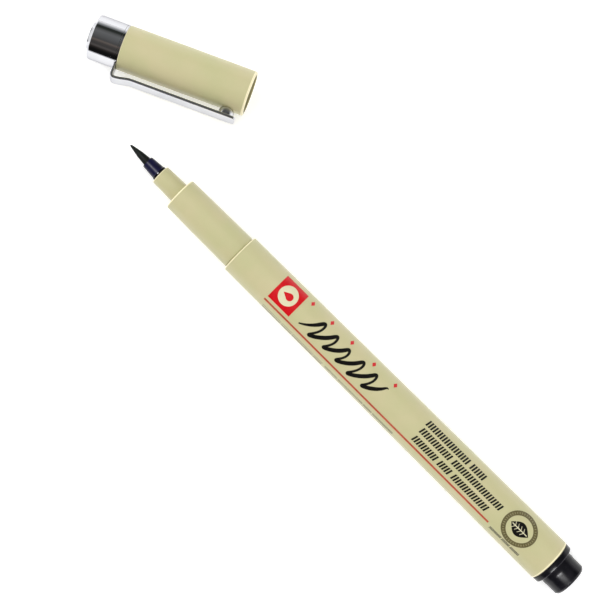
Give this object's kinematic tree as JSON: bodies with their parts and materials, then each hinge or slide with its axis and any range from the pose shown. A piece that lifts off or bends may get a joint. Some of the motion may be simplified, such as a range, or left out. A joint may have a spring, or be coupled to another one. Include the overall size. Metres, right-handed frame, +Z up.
{
  "type": "calligraphy brush pen",
  "caption": "Slim felt brush pen lying uncapped beside its clip cap: tapered barrel, stepped grip, pointed brush nib in a dark ferrule, ribbed rear plug, polished cap crown and spring clip.",
  "frame": {"origin": "centre of the footprint of pen and cap, on the table", "axes": "+X along the pen from brush tip to rear plug, +Y towards the side the cap lies on, +Z up"},
  "size_m": [0.1576, 0.0356, 0.0104],
  "materials": {
    "barrel": "satin moulded beige",
    "front_section": "satin moulded beige",
    "nib_holder": "glossy translucent blue-black",
    "brush_nib": "ink-soaked felt",
    "ink_core": "ink-soaked fibre bundle",
    "core_sleeve": "thin wrapping film",
    "rear_plug": "ribbed black plastic",
    "cap_tube": "satin moulded beige",
    "inner_cap": "natural white plastic",
    "cap_crown": "polished plating",
    "end_disc": "polished plating",
    "clip_ring": "polished plating",
    "clip_arm": "polished plating"
  },
  "bodies": {
    "pen": {"barrel": "barrel", "front_section": "front_section", "nib_holder": "nib_holder", "brush_nib": "brush_nib", "ink_core": "ink_core", "core_sleeve": "core_sleeve", "rear_plug": "rear_plug"},
    "cap": {"cap_tube": "cap_tube", "inner_cap": "inner_cap", "cap_crown": "cap_crown", "end_disc": "end_disc", "clip_ring": "clip_ring"},
    "clip": {"clip_arm": "clip_arm"}
  },
  "joints": [
    {"name": "cap_slide", "type": "slide", "parent": "pen", "child": "cap", "axis": [-0.9095, -0.4156, 0], "range_m": [0, 0.034]},
    {"name": "clip_flex", "type": "hinge", "parent": "cap", "child": "clip", "pos_m": [-0.06841, -0.00413, 0.0068], "axis": [0.1215, -0.2659, -0.9563], "range_deg": [0, 6], "stiffness_Nm_per_rad": 0.3}
  ]
}
